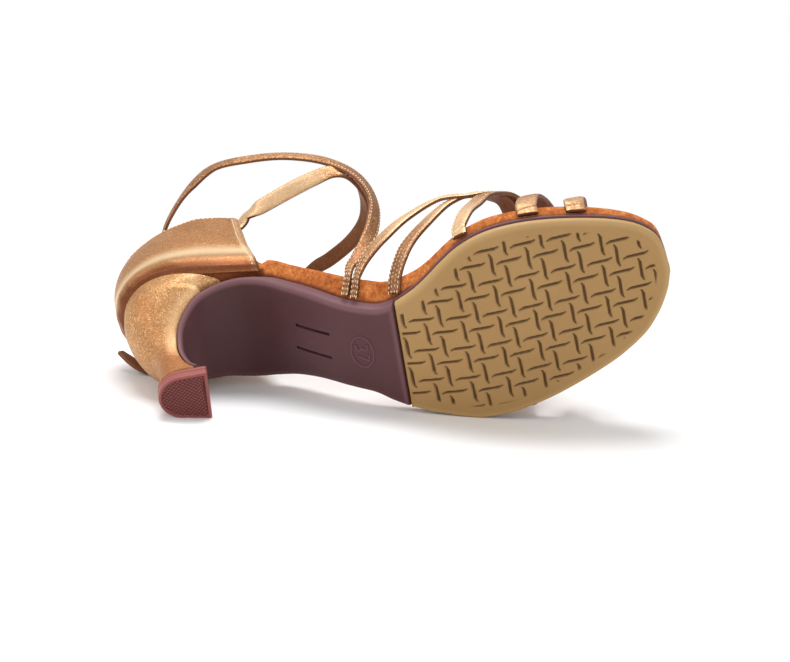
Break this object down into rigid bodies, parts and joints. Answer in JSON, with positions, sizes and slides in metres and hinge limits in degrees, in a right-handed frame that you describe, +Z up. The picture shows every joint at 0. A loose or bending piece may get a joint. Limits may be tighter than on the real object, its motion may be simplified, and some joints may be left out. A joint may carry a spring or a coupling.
{
  "type": "ballroom dance shoe",
  "caption": "Strapped ballroom dance sandal for the left foot, with a flared heel, a closed heel cup and a buckled ankle strap, lying on its outer side.",
  "frame": {"origin": "middle of the shoe's bounding box, at the floor it lies on", "axes": "+X from the heel towards the toe, +Y towards the straps' side and away from the sole's underside, +Z up from the floor"},
  "size_m": [0.219, 0.128, 0.0928],
  "materials": {
    "tan_tread_rubber": "matt",
    "plum_sole_rubber": "satin",
    "heel_tip_rubber": "matt",
    "orange_brown_suede": "suede nap",
    "bronze_satin": "glossy satin with fine glitter",
    "strap_bronze_satin": "glossy satin with fine glitter",
    "buckle_steel": "polished"
  },
  "bodies": {
    "root": {"forefoot_tread": "tan_tread_rubber", "outsole": "plum_sole_rubber", "insole": "orange_brown_suede", "heel": "bronze_satin", "heel_tip": "heel_tip_rubber", "heel_counter": "bronze_satin", "toe_strap": "strap_bronze_satin", "second_strap": "strap_bronze_satin", "vamp_straps": "strap_bronze_satin", "ankle_straps": "strap_bronze_satin", "buckle_frame": "buckle_steel", "buckle_pin": "buckle_steel"}
  },
  "joints": []
}
